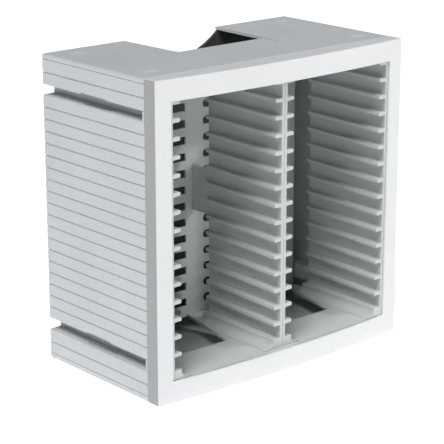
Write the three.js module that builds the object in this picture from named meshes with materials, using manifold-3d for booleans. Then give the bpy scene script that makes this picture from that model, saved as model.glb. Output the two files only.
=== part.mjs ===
// Desktop rack module for flat cases: two bays of slots in a bowed front frame, with ribbed
// sides that link to a neighbouring module, and dimples and feet that stack.
// Millimetres, +Z up, front facing -Y. The origin is on the table under the centre of the box.

import * as THREE from 'three';
import { mergeVertices } from 'three/addons/utils/BufferGeometryUtils.js';
import Module from 'manifold-3d';

const wasm = await Module();
wasm.setup();

// Whole rack. Depths run back from the front corners, which are at y = 0 until the last line.
const WIDTH = 338;
const HEIGHT = 330;
const SIDE_DEPTH = 182;
const FRONT_BOW = 9;
const GAP = 0.3;
const OVERCUT = 5;
const OVERLAP = 1;
const ROUND_SIDES = 20;

// Front frame
const FRAME_DEPTH = 16;
const BOW_STEPS = 16;
const FRAME_MEMBER = 22.5;
const FRAME_WALL = 3;
const LIP = 2.6;
const INNER_SKIN = 3;

// Slots and rails
const SLOTS = 15;
const SLOT_PITCH = 18.38;
const RAIL_THICK = 4.2;
const RAIL_REACH = 9;
const RAIL_REACH_REAR = 4.5;
const RAIL_EDGE = 0.4;
const RAIL_DRAFT = 0.3;
const LEDGE_TOP = 32.6;
const LEDGE_FILLET = 12;
const LEDGE_TOE = 0.4;
const LEDGE_STEPS = 8;
const DIVIDER = 7;
const DIVIDER_WEB = { low: 142, high: 191 };
const RAIL_FRONT = 0.4;
const RAIL_END = 115;

// Grille across the back of both bays, with one window behind each slot
const GRILLE = 2.5;
const GRILLE_FRONT = 143;
const BAY_END = GRILLE_FRONT - GAP;
const WINDOW = { start: 12.3, end: 137.7, height: 8.6, leftCorner: 4.1, rightCorner: 1 };
const WINDOW_STEPS = 3;

// Ribbed sides: pitches of the planks, listed from the top edge down
const PLANK = 12.73;
const CAP = 0.4 * PLANK;
const BASE = 0.47 * PLANK;
const MAIN_PLANKS = 19;
const END_PLANK = 1.1 * PLANK;
const PLANK_GROOVE = 1.3;
const GROOVE_DEPTH = 1.3;
const SIDE_SKIN = 3;
const LINK_DEPTH = 14;
const LINK_TOP = 0.85 * PLANK;
const LINK_BOTTOM = PLANK;
const LINK_WALL = 2.5;
const POCKET = { start: 76, length: 41, depth: 1.4, inset: 4.2, width: 6.5, lift: 1.8 };
const KEY_SLOT = { start: 119, length: 2.2 };

// Top and bottom plates
const PLATE = 3;
const EDGE_RADIUS = 4;
const NOTCH = { front: 100.5, frontHalf: 60.2, backHalf: 63.7 };
const DIMPLE = { radius: 10.8, depth: 1.6, fromSide: 27, front: 36.5, back: 155 };
const LABEL = { depth: 1, width: 27.5, corner: 20, wall: 1.2 };
const DIMPLE_STEPS = 3;
const PAD = { rim: 2, drop: 2, sink: 1 };
const FOOT = { radius: 10.6, height: 3.6, drop: 2, edge: 0.8 };
const LABEL_STEPS = 6;
const TURN_STEPS = 5;

// Floor openings, one per bay
const FLOOR_OPENING = { front: 53, frontWidth: 86, backWidth: 127.7 };

// Rear cover
const COVER = 3;
const HANDLE_ARC = { half: 65, sag: 25 };
const HANDLE_STEPS = 20;
const SCREW = { head: 3.6, headHeight: 1.8, seatDepth: 0.2, shank: 1.5, overlap: 0.5, length: 14 };
const DRIVE = { half: 2.4, slot: 0.5, depth: 1.2 };
const BOSS = { half: 5, length: 18, floor: 3, clearance: 1.5 };
const SCREW_HEIGHTS = [60, 165, 270];
const SHANK_SIDES = 8;
const HOLE_SIDES = 12;
const HEAD_SIDES = 16;

const HALF = WIDTH / 2;
const SLOT_FLOOR = FRAME_MEMBER;
const SLOT_CEILING = HEIGHT - FRAME_MEMBER;
const INNER_HALF = HALF - FRAME_MEMBER;
const PANEL_FRONT = FRAME_DEPTH + GAP;

const COLOURS = {
  frame: [0xe4e6e8, 0.42],
  shell: [0xc3c8cc, 0.55],
  insert: [0xd3d8da, 0.48],
  cover: [0x8d9492, 0.6],
  rubber: [0x2b2d2e, 0.85],
  steel: [0x9a9da0, 0.35],
};

// ---- solids ----

function toSolid(geometry) {
  const bare = geometry.index ? geometry.toNonIndexed() : geometry.clone();
  bare.deleteAttribute('normal');
  bare.deleteAttribute('uv');
  const merged = mergeVertices(bare, 1e-4);
  return new wasm.Manifold(new wasm.Mesh({
    numProp: 3,
    vertProperties: Float32Array.from(merged.attributes.position.array),
    triVerts: Uint32Array.from(merged.index.array),
  }));
}

function toGeometry(solid) {
  const mesh = solid.getMesh();
  const geometry = new THREE.BufferGeometry();
  geometry.setAttribute('position', new THREE.BufferAttribute(mesh.vertProperties, 3));
  geometry.setIndex(new THREE.BufferAttribute(mesh.triVerts, 1));
  geometry.computeVertexNormals();
  return geometry;
}

function box(x0, x1, y0, y1, z0, z1) {
  const geometry = new THREE.BoxGeometry(x1 - x0, y1 - y0, z1 - z0);
  geometry.translate((x0 + x1) / 2, (y0 + y1) / 2, (z0 + z1) / 2);
  return toSolid(geometry);
}

function extrude(shape, length, curveSegments = 8) {
  return new THREE.ExtrudeGeometry(shape, { depth: length, bevelEnabled: false, curveSegments });
}

// A shape drawn in (x, y), raised from z0 to z1
function raised(shape, z0, z1, curveSegments) {
  const geometry = extrude(shape, z1 - z0, curveSegments);
  geometry.translate(0, 0, z0);
  return toSolid(geometry);
}

// A shape drawn in (x, z), run back from y0 to y1
function runBack(shape, y0, y1, curveSegments) {
  const geometry = extrude(shape, y1 - y0, curveSegments);
  geometry.rotateX(Math.PI / 2);
  geometry.translate(0, y1, 0);
  return toSolid(geometry);
}

function rod(radius, x, z, y0, y1, sides = 20) {
  const geometry = new THREE.CylinderGeometry(radius, radius, y1 - y0, sides);
  geometry.translate(x, (y0 + y1) / 2, z);
  return toSolid(geometry);
}

function polygon(points) {
  return new THREE.Shape(points.map(([a, b]) => new THREE.Vector2(a, b)));
}

function mirrored(solid) {
  return solid.mirror([1, 0, 0]);
}

// ---- shared outlines ----

// The plan of the bowed front, from a straight seam to the arc, moved back by an inset
function frontPlan(inset, seam) {
  const radius = (HALF * HALF + FRONT_BOW * FRONT_BOW) / (2 * FRONT_BOW);
  const centre = radius - FRONT_BOW + inset;
  const reach = Math.asin(HALF / radius);
  const plan = new THREE.Shape();
  plan.moveTo(HALF, seam);
  plan.lineTo(-HALF, seam);
  plan.absarc(0, centre, radius, -Math.PI / 2 - reach, -Math.PI / 2 + reach, false);
  plan.closePath();
  return plan;
}

function railTop(k) {
  return LEDGE_TOP + k * SLOT_PITCH;
}

// ---- front frame ----

function frontFrame() {
  const body = raised(frontPlan(0, FRAME_DEPTH), 0, HEIGHT, BOW_STEPS);
  const side = INNER_HALF + INNER_SKIN + GAP;
  const rebateLow = SLOT_FLOOR - INNER_SKIN - GAP;
  const rebateHigh = SLOT_CEILING + INNER_SKIN + GAP;
  const opening = box(-side, side, -2 * FRONT_BOW, FRAME_DEPTH + OVERCUT, SLOT_FLOOR, SLOT_CEILING);
  const behindLip = raised(frontPlan(LIP, FRAME_DEPTH + OVERCUT), rebateLow, rebateHigh, BOW_STEPS);
  const rebate = behindLip.intersect(box(-side, side, -FRONT_BOW, FRAME_DEPTH + OVERCUT, 0, HEIGHT));
  const wall = FRAME_WALL;
  const inner = side + wall;
  const behindFace = raised(frontPlan(wall + OVERLAP, FRAME_DEPTH + OVERCUT), wall, HEIGHT - wall, BOW_STEPS)
    .intersect(box(wall - HALF, HALF - wall, -FRONT_BOW, FRAME_DEPTH + OVERCUT, 0, HEIGHT));
  const core = box(-inner, inner, -2 * FRONT_BOW, FRAME_DEPTH + 2 * OVERCUT,
    rebateLow - wall, rebateHigh + wall);
  const channel = behindFace.subtract(core);
  return body.subtract(opening).subtract(rebate).subtract(channel);
}

// ---- top and bottom plates ----

function domeCut(x, y, z) {
  const { radius, depth } = DIMPLE;
  const sphere = (radius * radius + depth * depth) / (2 * depth);
  const half = Math.asin(radius / sphere);
  const profile = [new THREE.Vector2(0, -depth)];
  for (let i = 1; i <= DIMPLE_STEPS; i += 1) {
    const angle = (half * i) / DIMPLE_STEPS;
    profile.push(new THREE.Vector2(sphere * Math.sin(angle), sphere - depth - sphere * Math.cos(angle)));
  }
  profile.push(new THREE.Vector2(radius, OVERCUT), new THREE.Vector2(0, OVERCUT));
  const geometry = new THREE.LatheGeometry(profile, ROUND_SIDES);
  geometry.rotateX(Math.PI / 2);
  geometry.translate(x, y, z);
  return toSolid(geometry);
}

// Section of a plate with a turned edge at both sides; radius rounds the outer corners
function platePlan(edge, outerZ, direction) {
  const r = EDGE_RADIUS;
  const shape = new THREE.Shape();
  const inner = direction * PLATE;
  const rim = direction * edge;
  shape.moveTo(-HALF, outerZ + rim);
  shape.lineTo(-HALF, outerZ + direction * r);
  shape.quadraticCurveTo(-HALF, outerZ, -HALF + r, outerZ);
  shape.lineTo(HALF - r, outerZ);
  shape.quadraticCurveTo(HALF, outerZ, HALF, outerZ + direction * r);
  shape.lineTo(HALF, outerZ + rim);
  shape.lineTo(HALF - SIDE_SKIN, outerZ + rim);
  shape.lineTo(HALF - SIDE_SKIN, outerZ + inner);
  shape.lineTo(SIDE_SKIN - HALF, outerZ + inner);
  shape.lineTo(SIDE_SKIN - HALF, outerZ + rim);
  shape.closePath();
  return shape;
}

function upright(radius, x, y, z0, z1) {
  const geometry = new THREE.CylinderGeometry(radius, radius, z1 - z0, ROUND_SIDES);
  geometry.rotateX(Math.PI / 2);
  geometry.translate(x, y, (z0 + z1) / 2);
  return toSolid(geometry);
}

function footCentres() {
  const x = HALF - DIMPLE.fromSide;
  return [[-x, DIMPLE.front], [x, DIMPLE.front], [-x, DIMPLE.back], [x, DIMPLE.back]];
}

function labelRecess() {
  const { front, frontHalf } = NOTCH;
  const side = frontHalf - LABEL.wall;
  const low = front - LABEL.width;
  const r = LABEL.corner;
  const shape = new THREE.Shape();
  shape.moveTo(-side, front + OVERCUT);
  shape.lineTo(-side, low + r);
  shape.absarc(r - side, low + r, r, Math.PI, 1.5 * Math.PI, false);
  shape.lineTo(side, low);
  shape.lineTo(side, front + OVERCUT);
  shape.closePath();
  return raised(shape, HEIGHT - LABEL.depth, HEIGHT + OVERCUT, LABEL_STEPS);
}

function topPanel() {
  let plate = runBack(platePlan(CAP, HEIGHT, -1), PANEL_FRONT, SIDE_DEPTH, TURN_STEPS);
  const pad = DIMPLE.radius + PAD.rim;
  for (const [x, y] of footCentres()) {
    plate = plate.add(upright(pad, x, y, HEIGHT - PLATE - PAD.drop, HEIGHT - PAD.sink));
    plate = plate.subtract(domeCut(x, y, HEIGHT));
  }
  const { front, frontHalf, backHalf } = NOTCH;
  const slope = (backHalf - frontHalf) / (SIDE_DEPTH - front);
  const past = backHalf + slope * OVERCUT;
  const notch = raised(polygon([[-frontHalf, front], [frontHalf, front],
    [past, SIDE_DEPTH + OVERCUT], [-past, SIDE_DEPTH + OVERCUT]]), 0, 2 * HEIGHT);
  return plate.subtract(notch).subtract(labelRecess());
}

function bottomPanel() {
  let plate = runBack(platePlan(BASE, 0, 1), PANEL_FRONT, SIDE_DEPTH, TURN_STEPS);
  const seat = FOOT.height - FOOT.drop + GAP;
  for (const [x, y] of footCentres()) {
    plate = plate.add(upright(DIMPLE.radius + PAD.rim, x, y, PAD.sink, PLATE + PAD.drop));
    plate = plate.subtract(upright(FOOT.radius + GAP, x, y, -OVERCUT, seat));
  }
  return plate;
}

function foot(x, y) {
  const { radius, height, drop, edge } = FOOT;
  const profile = [
    new THREE.Vector2(0, 0), new THREE.Vector2(radius - edge, 0), new THREE.Vector2(radius, edge),
    new THREE.Vector2(radius, height), new THREE.Vector2(0, height),
  ];
  const geometry = new THREE.LatheGeometry(profile, ROUND_SIDES);
  geometry.rotateX(Math.PI / 2);
  geometry.translate(x, y, -drop);
  return toSolid(geometry);
}

// ---- ribbed side panels ----

// Heights of the plank joints and of the two link channels, from the top edge down
function sideLayout() {
  const joints = [];
  let z = HEIGHT - CAP - END_PLANK;
  joints.push(z);
  z -= PLANK;
  const upper = { top: z, bottom: z - LINK_TOP };
  z = upper.bottom;
  for (let i = 1; i < MAIN_PLANKS; i += 1) {
    joints.push(z - i * PLANK * mainScale());
  }
  const lower = { top: z - MAIN_PLANKS * PLANK * mainScale() };
  lower.bottom = lower.top - LINK_BOTTOM;
  joints.push(lower.bottom - END_PLANK);
  return { joints, links: [upper, lower] };
}

// Stretches the nineteen middle planks so that the stack fills the height exactly
function mainScale() {
  const fixed = CAP + BASE + LINK_TOP + LINK_BOTTOM + 2 * (END_PLANK + PLANK);
  return (HEIGHT - fixed) / (MAIN_PLANKS * PLANK);
}

// Section of one ribbed skin in (depth from the outer face, z), with a groove at each joint
function skinSection(top, bottom) {
  const outer = [[0, top]];
  for (const z of sideLayout().joints.filter((joint) => joint < top && joint > bottom)) {
    outer.push([0, z + PLANK_GROOVE / 2], [GROOVE_DEPTH, z + PLANK_GROOVE / 2]);
    outer.push([GROOVE_DEPTH, z], [0, z - PLANK_GROOVE]);
  }
  return outer.concat([[0, bottom], [SIDE_SKIN, bottom], [SIDE_SKIN, top]]);
}

function leftSkin(top, bottom) {
  const outline = skinSection(top, bottom).map(([depth, z]) => [depth - HALF, z]);
  return runBack(polygon(outline), PANEL_FRONT, SIDE_DEPTH);
}

// Raises the lower edge of the skin above a channel, over the key pocket
function raisedLip(link) {
  const { start, length, lift } = POCKET;
  const inner = SIDE_SKIN + OVERLAP - HALF;
  return box(-HALF - OVERLAP, inner, start, start + length, link.top - OVERLAP, link.top + lift);
}

// A link channel: three walls behind the mouth, a front wall, and the key pocket in its ledge
function linkChannel(link) {
  const mouth = SIDE_SKIN + GAP - HALF;
  const back = LINK_DEPTH - HALF;
  const wall = LINK_WALL;
  const section = polygon([[mouth, link.top], [back, link.top], [back, link.bottom],
    [mouth, link.bottom], [mouth, link.bottom - wall], [back + wall, link.bottom - wall],
    [back + wall, link.top + wall], [mouth, link.top + wall]]);
  const frontEnd = PANEL_FRONT + wall;
  const { start, length, depth, inset, width } = POCKET;
  const x0 = inset - HALF;
  const x1 = x0 + width;
  const floor = link.bottom - depth;
  const above = link.bottom + OVERLAP;
  const low = link.bottom - OVERLAP;
  return runBack(section, PANEL_FRONT, SIDE_DEPTH)
    .add(box(mouth, back + OVERLAP, PANEL_FRONT, frontEnd, low, link.top + OVERLAP))
    .add(box(-HALF, mouth + OVERLAP, PANEL_FRONT, frontEnd, link.bottom + GAP, link.top - GAP))
    .subtract(box(x0, x1, start, start + length, floor, above))
    .subtract(box(x0, x1, KEY_SLOT.start, KEY_SLOT.start + KEY_SLOT.length, floor, above));
}

// Screw bosses for the rear cover, on the inner face of the side
function coverScrews() {
  const x = HALF - SIDE_SKIN - BOSS.half - BOSS.clearance;
  return SCREW_HEIGHTS.flatMap((z) => [[-x, z], [x, z]]);
}

function leftSidePanel() {
  const [upper, lower] = sideLayout().links;
  let panel = leftSkin(upper.bottom, lower.top).subtract(raisedLip(lower));
  const back = SIDE_DEPTH - COVER - GAP;
  for (const [x, z] of coverScrews().filter(([side]) => side < 0)) {
    const root = -HALF + SIDE_SKIN / 2 + GROOVE_DEPTH;
    const front = back - BOSS.length;
    const boss = box(root, x + BOSS.half, front, back, z - BOSS.half, z + BOSS.half);
    const hole = rod(SCREW.shank + GAP, x, z, front + BOSS.floor, back + OVERCUT, HOLE_SIDES);
    panel = panel.add(boss).subtract(hole);
  }
  return panel;
}

// ---- rear cover ----

function rearCover() {
  const side = HALF - SIDE_SKIN - GAP;
  const linkSide = HALF - LINK_DEPTH - LINK_WALL - GAP;
  const margin = LINK_WALL + GAP;
  const low = PLATE + GAP;
  const high = HEIGHT - PLATE - GAP;
  const edge = [[side, low]];
  for (const link of [...sideLayout().links].reverse()) {
    edge.push([side, link.bottom - margin], [linkSide, link.bottom - margin]);
    edge.push([linkSide, link.top + margin], [side, link.top + margin]);
  }
  edge.push([side, high]);
  const shape = new THREE.Shape();
  shape.moveTo(-side, low);
  for (const [x, z] of edge) shape.lineTo(x, z);
  const { half, sag } = HANDLE_ARC;
  const radius = (half * half + sag * sag) / (2 * sag);
  const reach = Math.asin(half / radius);
  shape.lineTo(half, high);
  shape.absarc(0, high - sag + radius, radius, reach - Math.PI / 2, -reach - Math.PI / 2, true);
  for (const [x, z] of [...edge].reverse()) shape.lineTo(-x, z);
  let cover = runBack(shape, SIDE_DEPTH - COVER, SIDE_DEPTH, HANDLE_STEPS);
  const seat = SIDE_DEPTH - SCREW.headHeight - GAP;
  for (const [x, z] of coverScrews()) {
    cover = cover.subtract(rod(SCREW.shank + GAP, x, z, 0, 2 * SIDE_DEPTH, HOLE_SIDES));
    cover = cover.subtract(rod(SCREW.head + GAP, x, z, seat, SIDE_DEPTH + OVERCUT));
  }
  return cover;
}

function screw(x, z) {
  const seat = SIDE_DEPTH - SCREW.headHeight;
  const head = rod(SCREW.head, x, z, seat, SIDE_DEPTH - SCREW.seatDepth, HEAD_SIDES);
  const shank = rod(SCREW.shank, x, z, SIDE_DEPTH - SCREW.length, seat + SCREW.overlap, SHANK_SIDES);
  const { half, slot, depth } = DRIVE;
  const floor = SIDE_DEPTH - depth;
  const across = box(x - half, x + half, floor, SIDE_DEPTH + OVERCUT, z - slot, z + slot);
  const upAndDown = box(x - slot, x + slot, floor, SIDE_DEPTH + OVERCUT, z - half, z + half);
  return head.add(shank).subtract(across).subtract(upAndDown);
}

// ---- rail walls ----

// Comb section in (distance from the wall's back face, z), with its base ledge and top block
function combShape(skin) {
  const tip = skin + RAIL_REACH;
  const edge = tip - RAIL_EDGE;
  const low = SLOT_FLOOR + GAP;
  const high = SLOT_CEILING - GAP;
  const shape = new THREE.Shape();
  shape.moveTo(0, low);
  shape.lineTo(tip + LEDGE_FILLET, low);
  shape.lineTo(tip + LEDGE_FILLET, low + LEDGE_TOE);
  shape.quadraticCurveTo(tip, low + LEDGE_TOE, tip, LEDGE_TOP - RAIL_EDGE);
  shape.lineTo(edge, LEDGE_TOP);
  shape.lineTo(skin, LEDGE_TOP);
  for (let k = 1; k < SLOTS; k += 1) {
    const top = railTop(k);
    const under = top - RAIL_THICK;
    shape.lineTo(skin, under);
    shape.lineTo(edge, under + RAIL_DRAFT);
    shape.lineTo(tip, under + RAIL_DRAFT + RAIL_EDGE);
    shape.lineTo(tip, top - RAIL_EDGE);
    shape.lineTo(edge, top);
    shape.lineTo(skin, top);
  }
  shape.lineTo(skin, railTop(SLOTS) - RAIL_THICK);
  shape.lineTo(tip, railTop(SLOTS) - RAIL_THICK);
  shape.lineTo(tip, high);
  shape.lineTo(0, high);
  shape.closePath();
  return shape;
}

// A rail wall that faces +X, with its back face at x = 0. The rails narrow towards the rear.
function railWall(skin) {
  const comb = runBack(combShape(skin), RAIL_FRONT, RAIL_END, LEDGE_STEPS);
  const tip = skin + RAIL_REACH;
  const slope = (RAIL_REACH - RAIL_REACH_REAR) / (RAIL_END - RAIL_FRONT);
  const rearTip = tip - slope * (RAIL_END + OVERCUT - RAIL_FRONT);
  const taper = raised(polygon([[tip, RAIL_FRONT], [tip + OVERCUT, RAIL_FRONT],
    [tip + OVERCUT, RAIL_END + OVERCUT], [rearTip, RAIL_END + OVERCUT]]), LEDGE_TOP + GAP, SLOT_CEILING);
  return comb.subtract(taper);
}

// Half of the divider, with half of the web that ties it to the grille
function dividerHalf() {
  const skin = (DIVIDER - GAP) / 2;
  const web = box(0, skin, RAIL_END - OVERCUT, BAY_END, DIVIDER_WEB.low, DIVIDER_WEB.high);
  return railWall(skin).add(web).translate([GAP / 2, 0, 0]).subtract(floorOpenings());
}

// ---- grille ----

// A window from x0 to x1 standing on the height z, with a round left end and a square right end
function windowHole(x0, x1, z) {
  const { height, leftCorner, rightCorner } = WINDOW;
  const top = z + height;
  const turn = Math.PI / 2;
  const hole = new THREE.Path();
  const left = x0 + leftCorner;
  const right = x1 - rightCorner;
  hole.moveTo(x0, z + leftCorner);
  hole.absarc(left, z + leftCorner, leftCorner, 2 * turn, 3 * turn, false);
  hole.absarc(right, z + rightCorner, rightCorner, 3 * turn, 4 * turn, false);
  hole.absarc(right, top - rightCorner, rightCorner, 0, turn, false);
  hole.absarc(left, top - leftCorner, leftCorner, turn, 2 * turn, false);
  hole.closePath();
  return hole;
}

function grille() {
  const side = INNER_HALF + INNER_SKIN - GAP;
  const low = SLOT_FLOOR - INNER_SKIN;
  const high = SLOT_CEILING + INNER_SKIN;
  const shape = polygon([[-side, low], [side, low], [side, high], [-side, high]]);
  for (let k = 0; k < SLOTS; k += 1) {
    shape.holes.push(windowHole(WINDOW.start, WINDOW.end, railTop(k)));
    shape.holes.push(windowHole(-WINDOW.end, -WINDOW.start, railTop(k)));
  }
  return runBack(shape, GRILLE_FRONT, GRILLE_FRONT + GRILLE, WINDOW_STEPS);
}

// ---- floor and ceiling of the bays ----

function bayCentres() {
  const middle = (INNER_HALF + DIVIDER / 2) / 2;
  return [-middle, middle];
}

function bayPlate(z0, z1) {
  const side = INNER_HALF + INNER_SKIN;
  const plan = raised(frontPlan(LIP + GAP, BAY_END), z0, z1, BOW_STEPS);
  return plan.intersect(box(-side, side, -2 * FRONT_BOW, BAY_END, z0 - OVERLAP, z1 + OVERLAP));
}

// One opening a bay, which widens towards the back and is open to the grille
function floorOpenings() {
  const { front, frontWidth, backWidth } = FLOOR_OPENING;
  const back = BAY_END + OVERCUT;
  const slope = (backWidth - frontWidth) / (GRILLE_FRONT - front) / 2;
  const narrow = frontWidth / 2;
  const wide = narrow + slope * (back - front);
  const [left, right] = bayCentres().map((x) => raised(polygon([
    [x - narrow, front], [x + narrow, front], [x + wide, back], [x - wide, back],
  ]), 0, LEDGE_TOP));
  return left.add(right);
}

function bayFloor() {
  return bayPlate(SLOT_FLOOR - INNER_SKIN, SLOT_FLOOR).subtract(floorOpenings());
}

// ---- assembly ----

const rack = new THREE.Group();

function addPart(name, solid, finish) {
  const [color, roughness] = COLOURS[finish];
  const metalness = finish === 'steel' ? 1 : 0;
  const material = new THREE.MeshStandardMaterial({ color, roughness, metalness });
  const mesh = new THREE.Mesh(toGeometry(solid), material);
  mesh.name = name;
  rack.add(mesh);
}

addPart('front_frame', frontFrame(), 'frame');
addPart('top_panel', topPanel(), 'shell');
addPart('bottom_panel', bottomPanel(), 'shell');

const [upperLink, lowerLink] = sideLayout().links;
const sideParts = {
  upper_side_strip: leftSkin(HEIGHT - CAP - GAP, upperLink.top).subtract(raisedLip(upperLink)),
  upper_link_channel: linkChannel(upperLink),
  side_panel: leftSidePanel(),
  lower_link_channel: linkChannel(lowerLink),
  lower_side_strip: leftSkin(lowerLink.bottom, BASE + GAP),
};
for (const [name, solid] of Object.entries(sideParts)) {
  addPart(`left_${name}`, solid, 'shell');
  addPart(`right_${name}`, mirrored(solid), 'shell');
}
addPart('rear_cover', rearCover(), 'cover');

const sideWall = railWall(INNER_SKIN)
  .translate([-INNER_HALF - INNER_SKIN, 0, 0])
  .subtract(floorOpenings());
addPart('left_rail_wall', sideWall, 'insert');
addPart('right_rail_wall', mirrored(sideWall), 'insert');

addPart('divider_right_half', dividerHalf(), 'insert');
addPart('divider_left_half', mirrored(dividerHalf()), 'insert');
addPart('back_grille', grille(), 'insert');
addPart('bay_floor', bayFloor(), 'insert');
addPart('bay_ceiling', bayPlate(SLOT_CEILING, SLOT_CEILING + INNER_SKIN), 'insert');

const corners = ['front_left', 'front_right', 'rear_left', 'rear_right'];
footCentres().forEach(([x, y], i) => addPart(`foot_${corners[i]}`, foot(x, y), 'rubber'));

const places = ['lower_left', 'lower_right', 'middle_left', 'middle_right', 'upper_left', 'upper_right'];
coverScrews().forEach(([x, z], i) => addPart(`cover_screw_${places[i]}`, screw(x, z), 'steel'));

rack.position.set(0, (FRONT_BOW - SIDE_DEPTH) / 2, FOOT.drop);

export default rack;
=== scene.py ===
"""Desktop rack for flat media cases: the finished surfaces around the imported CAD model.

Shapes are drawn in millimetres in the rack's own frame, which has y = 0 at the front corners and
z = 0 under the shell, and become metres in the row frame when their mesh is made.
"""

import math

import bmesh
import bpy
from mathutils import Matrix, Vector
from mathutils.geometry import tessellate_polygon


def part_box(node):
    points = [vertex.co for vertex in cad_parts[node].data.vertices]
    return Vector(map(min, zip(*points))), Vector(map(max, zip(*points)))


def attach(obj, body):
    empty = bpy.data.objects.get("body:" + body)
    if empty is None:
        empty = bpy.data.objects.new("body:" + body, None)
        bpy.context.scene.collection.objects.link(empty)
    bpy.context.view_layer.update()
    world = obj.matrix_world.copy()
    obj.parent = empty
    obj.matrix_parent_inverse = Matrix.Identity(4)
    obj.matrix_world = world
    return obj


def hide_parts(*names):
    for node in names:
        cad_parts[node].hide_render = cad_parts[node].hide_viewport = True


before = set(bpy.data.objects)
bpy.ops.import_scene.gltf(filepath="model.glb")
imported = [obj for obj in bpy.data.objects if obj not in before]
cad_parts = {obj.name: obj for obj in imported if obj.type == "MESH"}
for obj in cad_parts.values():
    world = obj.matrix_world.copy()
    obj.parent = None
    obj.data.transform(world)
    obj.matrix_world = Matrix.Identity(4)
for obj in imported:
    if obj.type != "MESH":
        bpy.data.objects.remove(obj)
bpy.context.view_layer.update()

MM = 0.001
BODY = "root"

# Shared by many shapes, in millimetres
GAP = 0.3  # between neighbouring pieces
SEAM = 0.04  # between faces that should look joined
OVER = 5  # how far a cutter passes the face it opens
OVERLAP = 1  # how far joined shapes run into each other
RIM = 0.4  # rounding of a prism's rims
BREAK = 0.3  # a small broken edge
WELD = 1e-4  # points closer than this become one

# Steps in a rounded corner or rim, and sides of a turned piece
CORNER_STEPS = 4
COARSE_STEPS = 3
PLATE_STEPS = 6
WIDE_STEPS = 8
RIM_STEPS = 2
FINE_RIM_STEPS = 3
TURNED_SIDES = 48
WIDE_TURNED_SIDES = 64

# Limits of rounding and mitring; angles are in degrees
STRAIGHT_ANGLE = 172  # a corner flatter than this stays a point
EDGE_SHARE = 0.48  # a rounding takes at most this share of an edge
MITRE_LIMIT = 0.5
SOFT_ANGLE = 40  # an edge that turns more than this is softened
FLAT_ANGLE = 0.5  # faces that turn less than this become one
NORMAL_WEIGHT = 100
DOWN = -math.pi / 2

# The rack
FRONT_BOW = 9
FRAME_LOW, FRAME_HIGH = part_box("front_frame")
WIDTH = (FRAME_HIGH.x - FRAME_LOW.x) / MM
HEIGHT = (FRAME_HIGH.z - FRAME_LOW.z) / MM
SIDE_DEPTH = (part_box("top_panel")[1].y - FRAME_LOW.y) / MM - FRONT_BOW
HALF = WIDTH / 2
ORIGIN = Vector((0, FRAME_LOW.y + FRONT_BOW * MM, FRAME_LOW.z))

# Front frame
FRAME_DEPTH = 16
FRAME_MEMBER = 22.5
FRAME_CORNER = 1.6
FRAME_MOUTH_CORNER = 1.2
FRAME_RIM = 1
LIP = 2.6
INNER_SKIN = 3
BOW_STEPS = 48
PANEL_FRONT = FRAME_DEPTH + GAP
SLOT_FLOOR = FRAME_MEMBER
SLOT_CEILING = HEIGHT - FRAME_MEMBER
INNER_HALF = HALF - FRAME_MEMBER

# Slots and rails
SLOTS = 15
SLOT_PITCH = 18.38
RAIL_THICK = 4.2
RAIL_REACH = 9
RAIL_REACH_REAR = 4.5
RAIL_FRONT = 0.4
RAIL_END = 115
RAIL_DRAFT = 0.35
RAIL_RIM = 0.45
RAIL_TIP_CORNER = 0.7
RAIL_ROOT_CORNER = 0.5
LEDGE_TOP = 32.6
LEDGE_EDGE = 1
LEDGE_FILLET = 12
LEDGE_TOE = 0.35
LEDGE_STEPS = 14
DIVIDER = 7
WEB_LOW = 142
WEB_HIGH = 191
GRILLE = 2.5
GRILLE_FRONT = 143
GRILLE_CORNER = 0.5
GRILLE_RIM = 0.35
BAY_END = GRILLE_FRONT - GAP

# Windows in the grille behind the bays
WINDOW_START = 12.3
WINDOW_END = 137.7
WINDOW_HEIGHT = 8.6
WINDOW_LEFT_CORNER = 4.1
WINDOW_RIGHT_CORNER = 1

# Ribbed sides; each strip beyond a link channel is one plank and one end plank high
PLANK = 12.73
CAP = 0.4 * PLANK
BASE = 0.47 * PLANK
END_PLANK = 1.1 * PLANK
STRIP = END_PLANK + PLANK
MAIN_PLANKS = 19
PLANK_GROOVE = 1.3
PLANK_SHOULDER = 0.5
GROOVE_DEPTH = 1.3
GROOVE_LIP = 0.35
GROOVE_CORNER = 0.2
SIDE_SKIN = 3
SKIN_CORNER = 0.9
LINK_DEPTH = 14
LINK_WALL = 2.5
LINK_TOP = 0.85 * PLANK
LINK_BOTTOM = PLANK
LINK_CORNER = 0.4
LINK_HOLLOW_CORNER = 0.8
LINK_SOFT_EDGE = 0.2
POCKET_START = 76
POCKET_LENGTH = 41
POCKET_DEPTH = 1.4
POCKET_INSET = 4.2
POCKET_WIDTH = 6.5
POCKET_LIFT = 1.8
POCKET_CORNER = 0.7
LIFT_CORNER = 0.8
KEY_START = 119
KEY_LENGTH = 2.2

# Top and bottom panels
PLATE = 3
PLATE_RIM = 0.7
PLATE_SOFT_EDGE = 0.35
EDGE_RADIUS = 4
NOTCH_FRONT = 100.5
NOTCH_FRONT_HALF = 60.2
NOTCH_BACK_HALF = 63.7
NOTCH_CORNER = 2
LABEL_DEPTH = 1
LABEL_WIDTH = 27.5
LABEL_CORNER = 20
LABEL_SMALL_CORNER = 1.5
LABEL_WALL = 1.2
LABEL_STEPS = 12
DIMPLE_RADIUS = 10.8
DIMPLE_DEPTH = 1.6
DIMPLE_FLARE = 0.5
DIMPLE_FLARE_RISE = 0.6
DIMPLE_STEPS = 10

# Feet, on the same centres as the dimples
FOOT_SIDE = 27
FOOT_FRONT = 36.5
FOOT_BACK = 155
FOOT_RADIUS = 10.6
FOOT_HEIGHT = 3.6
FOOT_DROP = 2
FOOT_EDGE = 0.9
FOOT_EDGE_STEPS = 6
FOOT_RING = 3
FOOT_RING_SLOPE = 0.4
FOOT_HOLLOW = 0.25

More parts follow.
